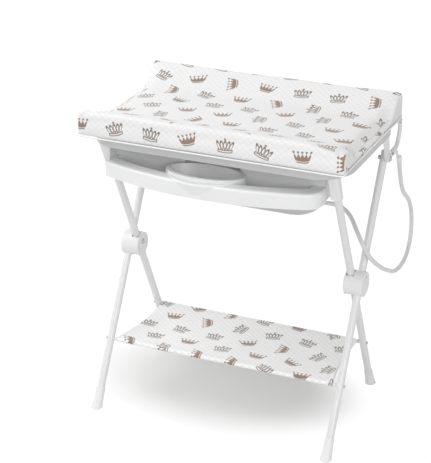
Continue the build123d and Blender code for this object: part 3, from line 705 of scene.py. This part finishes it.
# ---- studio
@dataclass(frozen=True)
class Lamp:
    """Square soft lamp."""

    name: str
    place: Point
    size: float
    power: float

    def build(self, aim: Point) -> None:
        """Adds the lamp, pointing at a place."""
        data = bpy.data.lights.new(self.name, "AREA")
        data.size = self.size
        data.energy = self.power
        made = linked(self.name, data)
        made.location = self.place
        made.rotation_euler = (Vector(aim) - Vector(self.place)).to_track_quat("-Z", "Y").to_euler()


@dataclass
class Studio:
    """Camera, lamps, floor and backdrop."""

    eye: Point = (1.5936, -3.8183, 2.3649)
    turn: float = math.radians(23.68)
    dip: float = math.radians(23.63)
    lens: float = 118.73
    sensor: float = 36.0
    sight: float = 200.0
    floor_size: float = 60.0
    floor_drop: float = 0.0004
    ambient: float = 0.48
    backdrop: float = 1.0
    aim: Point = (0.0, 0.0, 0.6)
    lamps: Sequence[Lamp] = (
        Lamp("over_left", (-1.8, -0.8, 3.4), 1.8, 33.0),
        Lamp("front_high", (-0.4, -2.4, 3.6), 1.8, 18.0),
        Lamp("left", (-3.6, -0.6, 1.6), 2.2, 30.0),
        Lamp("camera_side", (2.2, -3.6, 2.0), 2.2, 56.0),
        Lamp("right", (3.6, -1.0, 1.4), 2.2, 8.0),
        Lamp("rear", (-1.5, 3.2, 2.4), 2.2, 17.0),
    )

    def camera(self) -> None:
        """Makes the camera at the viewing angle."""
        data = bpy.data.cameras.new("camera")
        data.lens = self.lens
        data.sensor_fit = "VERTICAL"
        data.sensor_height = self.sensor
        data.clip_end = self.sight
        made = linked("camera", data)
        made.location = self.eye
        made.rotation_euler = (math.pi / 2 - self.dip, 0.0, self.turn)
        bpy.context.scene.camera = made

    def light(self) -> None:
        """Adds the lamps and the world, which is white to the rays that show it."""
        for lamp in self.lamps:
            lamp.build(self.aim)
        world = bpy.data.worlds.new("studio")
        bpy.context.scene.world = world
        world.use_nodes = True
        g = Graph(world.node_tree)
        parts = [
            g.node("ShaderNodeBackground", Color=WHITE, Strength=strength).outputs[0]
            for strength in (self.ambient, self.backdrop)
        ]
        mix = g.node("ShaderNodeMixShader", i0=g.seen(), i1=parts[0], i2=parts[1])
        g.node("ShaderNodeOutputWorld", Surface=mix.outputs[0])

    def floor(self) -> None:
        """Lays the floor just below the feet."""
        half, low = self.floor_size / 2, -self.floor_drop
        mesh = bpy.data.meshes.new("floor")
        corners = [(-half, -half, low), (half, -half, low), (half, half, low), (-half, half, low)]
        mesh.from_pydata(corners, [], [(0, 1, 2, 3)])
        made = linked("floor", mesh)
        set_finish(made, StudioFloor().build())

    def build(self) -> None:
        """Sets the whole studio up."""
        bpy.context.scene.view_settings.view_transform = "Standard"
        self.camera()
        self.light()
        self.floor()


# ---- drain hose
@dataclass
class DrainHose:
    """Bath drain hose: round the stand's right side and back up to its hook."""

    diameter: float = 0.013
    length: float = 1.151
    route: Sequence[Point] = (
        (0.182402, 0.015890, 0.6560),
        (0.217488, 0.090116, 0.6560),
        (0.2977, 0.1003, 0.6413),
        (0.3610, 0.0190, 0.5918),
        (0.395, 0.020, 0.531),
        (0.411, 0.091, 0.473),
        (0.407, 0.146, 0.444),
        (0.409, 0.235, 0.398),
        (0.409, 0.328, 0.394),
        (0.403, 0.404, 0.423),
        (0.400, 0.425, 0.501),
        (0.400, 0.384, 0.581),
        (0.401, 0.279, 0.647),
        (0.403, 0.241, 0.757),
    )

    def build(self, finish: Material, hook: Piece) -> Piece:
        """Args:
            finish: The hose's material.
            hook: The hook that holds its free end; not used.

        Returns:
            The hose.
        """
        hose = smooth_tube("drain_hose_soft", self.route, self.diameter / 2, steps=10, rounding=5)
        hose.data.materials.append(finish)
        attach(hose, Body.TUB.value)
        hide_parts("drain_hose")
        return hose


# ---- changing pad
@dataclass
class ChangingPad:
    """Sealed pad: a firm roll along the front, a low middle and a wedge along the back."""

    half_length: float = 0.400
    front: float = -0.2500
    rear: float = 0.2695
    bottom: float = 0.8860
    top: float = 0.9635
    shrink: float = 0.003
    stations: int = 9
    corner_steps: int = 4
    voxel: float = 0.0068
    held_band: float = 0.006
    frames: int = 20
    pressure: float = 4.0
    stiffness: float = 40.0
    swell: float = 0.0045
    lip: float = 0.0050
    lip_height: float = 0.040
    lip_face: Span = (-0.2385, -0.2355)
    roll_fade: Span = (-0.215, -0.150)
    valley_front: Span = (-0.200, -0.120)
    valley_rear: Span = (0.150, 0.225)
    end_fade: Span = (0.352, 0.398)
    end_sink: float = 0.68
    face_fade: Span = (-0.2435, -0.190)
    corner_fade: Span = (0.270, 0.395)
    corner_drops: Sequence[tuple[int, float]] = ((-1, 0.003), (1, 0.022))
    cover_height: float = 0.07
    pleat_middle: Span = (0.402, 0.925)
    pleat_place: float = 0.388
    pleat_width: float = 0.045
    pleat_rise: float = 0.0026
    pleat_push: float = 0.0016
    ripple: float = 0.0010
    ripple_fade: Span = (0.905, 0.915)
    end_facing: float = 0.72
    end_map: Span = (2.0, 0.35)
    profile: Sequence[tuple[float, float, float]] = (
        (-0.2400, 0.8860, 0.003),
        (-0.2450, 0.9500, 0.030),
        (-0.2385, 0.9595, 0.008),
        (-0.2020, 0.9430, 0.020),
        (-0.0940, 0.9110, 0.090),
        (0.1400, 0.9095, 0.090),
        (0.1930, 0.9310, 0.060),
        (0.2610, 0.9635, 0.007),
        (0.2695, 0.9590, 0.006),
        (0.2685, 0.8860, 0.003),
    )

    def _start(self) -> Piece:
        """The uninflated form: the profile drawn along the pad, with closed ends."""
        loop = rounded_loop(self.profile, self.corner_steps)
        middle = (loop.min(axis=0) + loop.max(axis=0)) / 2
        half = (loop.max(axis=0) - loop.min(axis=0)) / 2
        loop = middle + (loop - middle) * (1 - self.shrink / half)
        stations = np.linspace(-self.half_length, self.half_length, self.stations)
        return closed_skin("pad_start", [[(x, y, z) for y, z in loop] for x in stations])

    def _inflate(self, piece: Piece) -> None:
        """Swells the cover by cloth simulation and caps how far it moves."""
        rest = read_points(piece.data)
        held = piece.vertex_groups.new(name="held")
        low = np.nonzero(rest[:, 2] < self.bottom + self.held_band)[0]
        held.add([int(i) for i in low], 1.0, "REPLACE")
        cloth = piece.modifiers.new("Cloth", "CLOTH")
        settings = cloth.settings
        settings.quality = 5
        settings.mass = 0.3
        settings.tension_stiffness = settings.compression_stiffness = self.stiffness
        settings.shear_stiffness = self.stiffness / 2
        settings.bending_stiffness = 2.0
        settings.use_pressure = True
        settings.uniform_pressure_force = self.pressure
        settings.vertex_group_mass = "held"
        settings.effector_weights.gravity = 0.0
        cloth.point_cache.frame_start = 1
        cloth.point_cache.frame_end = self.frames
        scene = bpy.context.scene
        for frame in range(1, self.frames + 1):
            scene.frame_set(frame)
        graph = bpy.context.evaluated_depsgraph_get()
        moved = bpy.data.meshes.new_from_object(piece.evaluated_get(graph), depsgraph=graph)
        shift = read_points(moved) - rest
        bpy.data.meshes.remove(moved)
        piece.modifiers.remove(cloth)
        piece.vertex_groups.remove(held)
        scene.frame_set(1)
        length = np.linalg.norm(shift, axis=1, keepdims=True)
        shift *= np.minimum(1.0, self.swell / np.maximum(length, 1e-9))
        write_points(piece.data, rest + shift)

    def _fit(self, points: np.ndarray) -> np.ndarray:
        """Brings the swollen skin back to the pad's own length, width and height."""
        low, high = points.min(axis=0), points.max(axis=0)
        goal_low = np.array((-self.half_length, self.front, self.bottom))
        goal_high = np.array((self.half_length, self.rear, self.top))
        return goal_low + (points - low) * (goal_high - goal_low) / (high - low)

    def _gather(self, points: np.ndarray) -> np.ndarray:
        """Shapes the cover: thin ends, pleated front corners and a lip over the board's edge.

        Args:
            points: The skin's positions.

        Returns:
            The changed positions.
        """
        x, y, z = points.T.copy()
        height = np.clip((z - self.bottom) / self.cover_height, 0.0, 1.0)
        roll = 1.0 - smooth(*self.roll_fade, y)
        valley = smooth(*self.valley_front, y) * (1.0 - smooth(*self.valley_rear, y))
        ends = smooth(*self.end_fade, np.abs(x))
        z = z - self.end_sink * (z - self.bottom) * valley * ends
        for side, drop in self.corner_drops:
            reach = smooth(*self.corner_fade, side * x)
            front = 1.0 - smooth(*self.face_fade, y)
            z = z - drop * reach * front * height
            angle = np.arctan2(z - self.pleat_middle[1], self.pleat_middle[0] - side * x)
            near = np.exp(-(((self.pleat_place - side * x) / self.pleat_width) ** 2))
            near = near * roll * height
            z = z + self.pleat_rise * near * np.sin(8.0 * angle + 0.6)
            y = y + self.pleat_push * near * np.cos(9.0 * angle)
        wave = np.sin(x * 15.0 + 0.4) * np.cos(x * 6.0)
        z = z + self.ripple * wave * smooth(*self.ripple_fade, z)
        hang = 1.0 - smooth(self.bottom, self.bottom + self.lip_height, z)
        z = z - self.lip * hang * (1.0 - smooth(*self.lip_face, y))
        return np.column_stack((x, y, z))

    def _lay_out(self, piece: Piece) -> None:
        """Writes the UV map: metres along the pad and round its profile."""
        mesh = piece.data
        points = read_points(mesh)
        loop = rounded_loop(self.profile, self.corner_steps)
        start = np.vstack((loop, loop[:1]))
        steps = np.diff(start, axis=0)
        lengths = np.linalg.norm(steps, axis=1)
        begun = np.concatenate(([0.0], np.cumsum(lengths)[:-1]))
        best = np.full(len(points), 1e9)
        run = np.zeros(len(points))
        for origin, step, length, begin in zip(start, steps, lengths, begun):
            if length < 1e-6:
                continue
            offset = points[:, 1:] - origin
            t = np.clip(offset @ step / length**2, 0.0, 1.0)
            gap = np.linalg.norm(offset - t[:, None] * step, axis=1)
            closer = gap < best
            best[closer] = gap[closer]
            run[closer] = begin + t[closer] * length
        corner_points = np.empty(len(mesh.loops), dtype=np.int64)
        mesh.loops.foreach_get("vertex_index", corner_points)
        facing = np.abs([face.normal.x for face in mesh.polygons])
        on_end = np.repeat(facing, [face.loop_total for face in mesh.polygons]) > self.end_facing
        flat = np.column_stack((points[corner_points, 0], run[corner_points]))
        ends = points[corner_points][:, 1:] + self.end_map
        flat[on_end] = ends[on_end]
        layer = mesh.uv_layers.new(name=CLOTH_MAP)
        layer.data.foreach_set("uv", flat.ravel())

    def build(self, finish: Material) -> Piece:
        """Args:
            finish: The printed cover's material.

        Returns:
            The pad.
        """
        skin = {"mode": "VOXEL", "voxel_size": self.voxel, "use_smooth_shade": True}
        piece = modified(self._start(), "changing_pad", "REMESH", **skin)
        self._inflate(piece)
        write_points(piece.data, self._gather(self._fit(read_points(piece.data))))
        piece = modified(piece, "changing_pad", "SUBSURF", levels=1, render_levels=1)
        self._lay_out(piece)
        piece.data.shade_smooth()
        set_finish(piece, finish)
        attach(piece, Body.CHANGER.value)
        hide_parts("changer_pad")
        return piece


@dataclass
class EdgePiping:
    """White cord sewn along the pad's lower edge, in front and at both ends."""

    radius: float = 0.0024
    end_x: float = 0.4002
    end_z: float = 0.8872
    front_y: float = -0.2485
    front_z: float = 0.8806
    rear_y: float = 0.2660

    def _line(self) -> list[Point]:
        """Control points from the left rear corner, along the front, to the right rear one."""
        x, y, z, back = self.end_x, self.front_y, self.end_z, self.rear_y
        right = [(across, y, self.front_z) for across in (0.0, 0.300, 0.380)] + [
            (x - 0.001, y, self.front_z + 0.001),
            (x, y + 0.014, self.front_z + 0.006),
            (x, y + 0.034, z),
            (x, 0.0, z),
            (x, back - 0.010, z),
            (x - 0.004, back, z),
        ]
        left = [(-x, y, z) for x, y, z in reversed(right[1:])]
        return left + right

    def build(self, finish: Material) -> Piece:
        """Makes the piping.

        Args:
            finish: The cord's material.

        Returns:
            The piping.
        """
        line = smooth_tube("pad_piping_line", self._line(), self.radius, steps=6, rounding=2)
        piece = baked_copy(line, "pad_piping")
        piece.data.shade_smooth()
        set_finish(piece, finish)
        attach(piece, Body.CHANGER.value)
        return piece


# ---- tray
@dataclass
class TrayEnd:
    """Small wall that closes the tray's left pocket beside the front socket."""

    x: float = -0.3265
    thickness: float = 0.003
    front: float = -0.2010
    rear: float = -0.1475
    low: float = 0.8020
    high: float = 0.8640
    slope: float = 0.014
    edge: float = 0.0009

    def build(self, finish: Material) -> Piece:
        """Makes the wall, with a sloping front edge and rounded corners.

        Args:
            finish: The tray's material.

        Returns:
            The wall.
        """
        corners = (
            (self.front, self.low, 0.002),
            (self.front + self.slope, self.high, 0.010),
            (self.rear, self.high, 0.001),
            (self.rear, self.low, 0.001),
        )
        loop = rounded_loop(corners, 5)
        half = self.thickness / 2
        rings = [[(x, y, z) for y, z in loop] for x in (self.x - half, self.x + half)]
        piece = closed_skin("tray_end", rings)
        edges = {"width": self.edge, "segments": 2, "limit_method": "ANGLE"}
        piece = modified(piece, "tray_end", "BEVEL", **edges)
        set_finish(piece, finish)
        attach(piece, Body.TUB.value)
        return piece


# ---- cloth shelf
@dataclass
class ClothShelf:
    """Printed cloth stretched between two rods, sewn round each and hollowed at its side edges."""

    front_half: float = 0.3495
    rear_half: float = 0.3305
    edge_dip: float = 0.010
    sag: float = 0.004
    sleeve: float = 0.0062
    wall: float = 0.0007
    columns: int = 96
    rows: int = 40
    sleeve_steps: int = 14
    sleeve_turn: float = 1.72 * math.pi
    hollow: float = 0.8
    hem_inset: float = 0.011
    hem_end: float = 0.004
    thread_sunk: float = 0.0001
    edge_lift: float = 0.004
    ripple: float = 0.0014
    print_shift: float = 0.03
    rods: Sequence[str] = ("front_shelf_rod", "rear_shelf_rod")

    def _middle(self, rod: str) -> Vector:
        """Middle of a rod."""
        low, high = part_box(rod)
        return (low + high) / 2

    def _arch(self, along: float) -> float:
        """Height of the cloth over the rods' middles, before it sags."""
        return self.sleeve * (1 - self.hollow * math.sin(math.pi * along))

    def _side(self, along: float) -> float:
        """Half length of the cloth at a share of the way from the front rod to the rear one."""
        straight = self.front_half + (self.rear_half - self.front_half) * along
        return straight - self.edge_dip * math.sin(math.pi * along)

    def _section(self, front: Vector, rear: Vector) -> list[tuple[float, float, float]]:
        """Y, Z and share of depth of the cloth's section, from one sleeve's seam to the other's.

        Args:
            front: Middle of the front rod.
            rear: Middle of the rear rod.

        Returns:
            The section's points.
        """
        r = self.sleeve
        points = []
        for k in range(self.sleeve_steps + 1):
            a = math.pi / 2 + self.sleeve_turn * (k / self.sleeve_steps - 1)
            points.append((front.y - r * math.cos(a), front.z + r * math.sin(a), 0.0))
        for k in range(1, self.rows):
            t = k / self.rows
            droop = self.sag * math.sin(math.pi * t)
            y = front.y + (rear.y - front.y) * t
            points.append((y, front.z + self._arch(t) - droop, t))
        for k in range(self.sleeve_steps + 1):
            a = math.pi / 2 + self.sleeve_turn * k / self.sleeve_steps
            points.append((rear.y - r * math.cos(a), rear.z + r * math.sin(a), 1.0))
        return points

    def seams(self) -> tuple[list[Point], list[Point]]:
        """Lines just inside the front and the rear sleeve, where the hems are sewn."""
        lines = []
        for rod, along, way in ((self.rods[0], 0.04, 1), (self.rods[1], 0.96, -1)):
            middle = self._middle(rod)
            half = self._side(along) - self.hem_end
            height = self._arch(along) - self.thread_sunk
            y, z = middle.y + way * self.hem_inset, middle.z + height
            lines.append([(-half, y, z), (half, y, z)])
        return lines[0], lines[1]

    def build(self, finish: Material) -> Piece:
        """Args:
            finish: The printed cloth's material.

        Returns:
            The shelf.
        """
        front, rear = (self._middle(rod) for rod in self.rods)
        section = self._section(front, rear)
        runs = [0.0]
        for (y0, z0, _), (y1, z1, _) in zip(section, section[1:]):
            runs.append(runs[-1] + math.hypot(y1 - y0, z1 - z0))
        mesh = bpy.data.meshes.new("cloth_shelf")
        points, flat = [], []
        for i in range(self.columns + 1):
            share = -1 + 2 * i / self.columns
            for (y, z, t), run in zip(section, runs):
                x = share * self._side(t)
                edge = self.edge_lift * abs(share) ** 8
                ripple = self.ripple * math.sin(x * 38 + 5 * t)
                points.append((x, y, z + (edge + ripple) * math.sin(math.pi * t)))
                flat.append((x + self.print_shift, run))
        count = len(section)
        first = [i * count + k for i in range(self.columns) for k in range(count - 1)]
        faces = [(k, k + count, k + count + 1, k + 1) for k in first]
        mesh.from_pydata(points, [], faces)
        layer = mesh.uv_layers.new(name=CLOTH_MAP)
        for corner in mesh.loops:
            layer.data[corner.index].uv = flat[corner.vertex_index]
        piece = linked("cloth_shelf", mesh)
        piece = modified(piece, "cloth_shelf", "SOLIDIFY", thickness=self.wall, offset=0.0)
        piece.data.shade_smooth()
        set_finish(piece, finish)
        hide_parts("shelf_fabric")
        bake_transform(piece)
        return piece


# ---- small repeats
@dataclass
class StitchRow:
    """A row of stitches along a line, made with Geometry Nodes."""

    pitch: float = 0.0042
    stitch: float = 0.0028
    thickness: float = 0.00035
    bead_sides: int = 6

    def _graph(self, finish: Material) -> InstanceGraph:
        """Builds the tree that lays stitches along every edge of the mesh it is given."""
        numbers = {"Pitch": self.pitch, "Stitch": self.stitch, "Thickness": self.thickness}
        g = InstanceGraph("stitch_row", numbers)
        line = g.node("GeometryNodeMeshToCurve", Mesh=g.given["Geometry"]).outputs[0]
        spread = g.node(
            "GeometryNodeResampleCurve", {"mode": "LENGTH"}, Curve=line, Length=g.given["Pitch"]
        ).outputs[0]
        points = g.node("GeometryNodeCurveToPoints", {"mode": "EVALUATED"}, Curve=spread).outputs
        sizes = {"Radius": g.given["Thickness"], "Depth": g.given["Stitch"]}
        bead = g.node("GeometryNodeMeshCylinder", Vertices=self.bead_sides, **sizes)
        turned = {"Points": points["Points"], "Rotation": points["Rotation"]}
        g.place_copies(finish, Instance=bead.outputs["Mesh"], **turned)
        return g

    def build(
        self, name: str, line: Sequence[Point], finish: Material, body: Body, slot: str
    ) -> Piece:
        """Makes the stitches.

        Args:
            name: The piece's name.
            line: The line that the stitches follow.
            finish: The thread's material.
            body: The body that they ride on.
            slot: The record's slot; not used.

        Returns:
            The piece.
        """
        mesh = bpy.data.meshes.new(name)
        mesh.from_pydata(line, [(i, i + 1) for i in range(len(line) - 1)], [])
        piece = self._graph(finish).applied(linked(name + "_line", mesh), name)
        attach(piece, body.value)
        return piece


@dataclass
class CrossDrive:
    """Cross-shaped drives sunk in the screw heads, made with Geometry Nodes; their near-black
    finish paints the shade in the recesses.
    """

    size: float = 0.0046
    slit: float = 0.0011
    depth: float = 0.0004

    def _cross(self) -> Piece:
        """One cross that faces +Z, as a thin closed plate."""
        arm, half = self.size / 2, self.slit / 2
        outline, corner = [], [(half, half), (half, arm), (-half, arm)]
        for _ in range(4):
            outline += corner
            corner = [(-y, x) for x, y in corner]
        rings = [[(x, y, z) for x, y in outline] for z in (-self.depth / 2, self.depth / 2)]
        return closed_skin("cross", rings)

    def _graph(self, cross: Piece, finish: Material) -> InstanceGraph:
        """Builds the tree that puts a cross on each vertex, facing along its stored direction."""
        g = InstanceGraph("cross_drive", {"Scale": 1.0})
        points = g.node("GeometryNodeMeshToPoints", Mesh=g.given["Geometry"]).outputs[0]
        stored = {"data_type": "FLOAT_VECTOR"}
        facing = g.node("GeometryNodeInputNamedAttribute", stored, Name="facing")
        way = facing.outputs["Attribute"]
        turn = g.node("FunctionNodeAlignRotationToVector", {"axis": "Z"}, Vector=way).outputs[0]
        shape = g.node("GeometryNodeObjectInfo", Object=cross).outputs["Geometry"]
        placed = {"Points": points, "Rotation": turn, "Scale": g.given["Scale"]}
        g.place_copies(finish, Instance=shape, **placed)
        return g

    def build(
        self, name: str, heads: Sequence[Head], finish: Material, body: Body
    ) -> Piece:
        """Makes the drives of one body's screws.

        Args:
            name: The piece's name.
            heads: Middle of each head's face and the way it faces.
            finish: The recess material.
            body: The body that they ride on.

        Returns:
            The piece.
        """
        mesh = bpy.data.meshes.new(name)
        mesh.from_pydata([h[0] for h in heads], [], [])
        facing = mesh.attributes.new("facing", "FLOAT_VECTOR", "POINT")
        facing.data.foreach_set("vector", [c for h in heads for c in h[1]])
        cross = self._cross()
        piece = self._graph(cross, finish).applied(linked(name + "_points", mesh), name)
        bpy.data.objects.remove(cross)
        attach(piece, body.value)
        return piece


def side_heads(node: str) -> list[Head]:
    """Faces of a left and right pair of screws whose heads look outwards along X.

    Args:
        node: The CAD node that holds both screws.

    Returns:
        Place and direction of each head.
    """
    low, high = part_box(node)
    y, z = (low.y + high.y) / 2, (low.z + high.z) / 2
    return [((low.x, y, z), (-1.0, 0.0, 0.0)), ((high.x, y, z), (1.0, 0.0, 0.0))]


# ---- CAD nodes
@dataclass
class RigidParts:
    """Gives each carried-over CAD node its finish."""

    tubes: Sequence[str] = (
        "outer_leg_left", "outer_leg_right", "inner_leg_left", "inner_leg_right",
        "front_shelf_rod", "rear_shelf_rod", "hinge_arm_left", "hinge_arm_right",
    )
    steel: Sequence[str] = (
        "pivot_bolts", "hub_screws", "front_rod_screws", "rear_rod_screws", "tub_screws",
        "tub_pivot_bolts", "changer_hinge_left", "changer_hinge_right", "hinge_pins",
    )
    smooth_plastic: Sequence[str] = ("organiser_tray", "soap_bowl", "changer_board")
    tub: Sequence[str] = ("bath_tub",)

    def build(self, nodes: dict[str, Piece]) -> Material:
        """Assigns the materials.

        Args:
            nodes: The frame's CAD nodes by name.

        Returns:
            The tray's finish.
        """
        shiny = TRAY_PLASTIC.build()
        groups = (
            (self.tubes, PAINTED_TUBE.build()),
            (self.steel, ZINC_STEEL.build()),
            (self.smooth_plastic, shiny),
            # the tub gets its plastic greyed with painted shade
            (self.tub, TUB_PLASTIC_PAINTED_SHADE.build()),
        )
        grained = MOULDED_PLASTIC.build()
        for name, node in nodes.items():
            chosen = [finish for names, finish in groups if name in names]
            set_finish(node, chosen[0] if chosen else grained)
        return shiny


# ---- main
def report(piece: Piece) -> None:
    """Logs a finished piece."""
    if piece.type == "MESH":
        LOG.info("%s: %d faces", piece.name, len(piece.data.polygons))
    else:
        LOG.info("%s: curve", piece.name)


def main() -> None:
    """Builds the dressed model."""
    logging.basicConfig(level=logging.INFO, format="%(name)s: %(message)s")
    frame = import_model()
    nodes = frame["nodes"]
    Studio().build()
    report(DrainHose().build(HOSE_VINYL.build(), nodes["hose_hook"]))
    shiny = RigidParts().build(nodes)
    report(TrayEnd().build(shiny))
    cloth = PrintedCloth().build()
    report(ChangingPad().build(cloth))
    report(EdgePiping().build(WELT_VINYL.build()))
    shelf = ClothShelf()
    report(shelf.build(PrintedCloth("printed_shelf_cloth", (0.94, 0.937, 0.935), seed=8.0).build()))
    front_seam, rear_seam = shelf.seams()
    stitches, thread = StitchRow(), SEWING_THREAD.build()
    report(stitches.build("front_hem_stitches", front_seam, thread, Body.OUTER, "shelf_cloth"))
    report(stitches.build("rear_hem_stitches", rear_seam, thread, Body.INNER, "shelf_cloth"))
    # near-black painted shade for the cross recesses
    recess = RECESS_PAINTED_SHADE.build()
    drives = CrossDrive()
    outer = side_heads("front_rod_screws") + side_heads("hub_screws")
    report(drives.build("outer_drives", outer, recess, Body.OUTER))
    report(drives.build("inner_drives", side_heads("rear_rod_screws"), recess, Body.INNER))


if __name__ == "__main__":
    main()
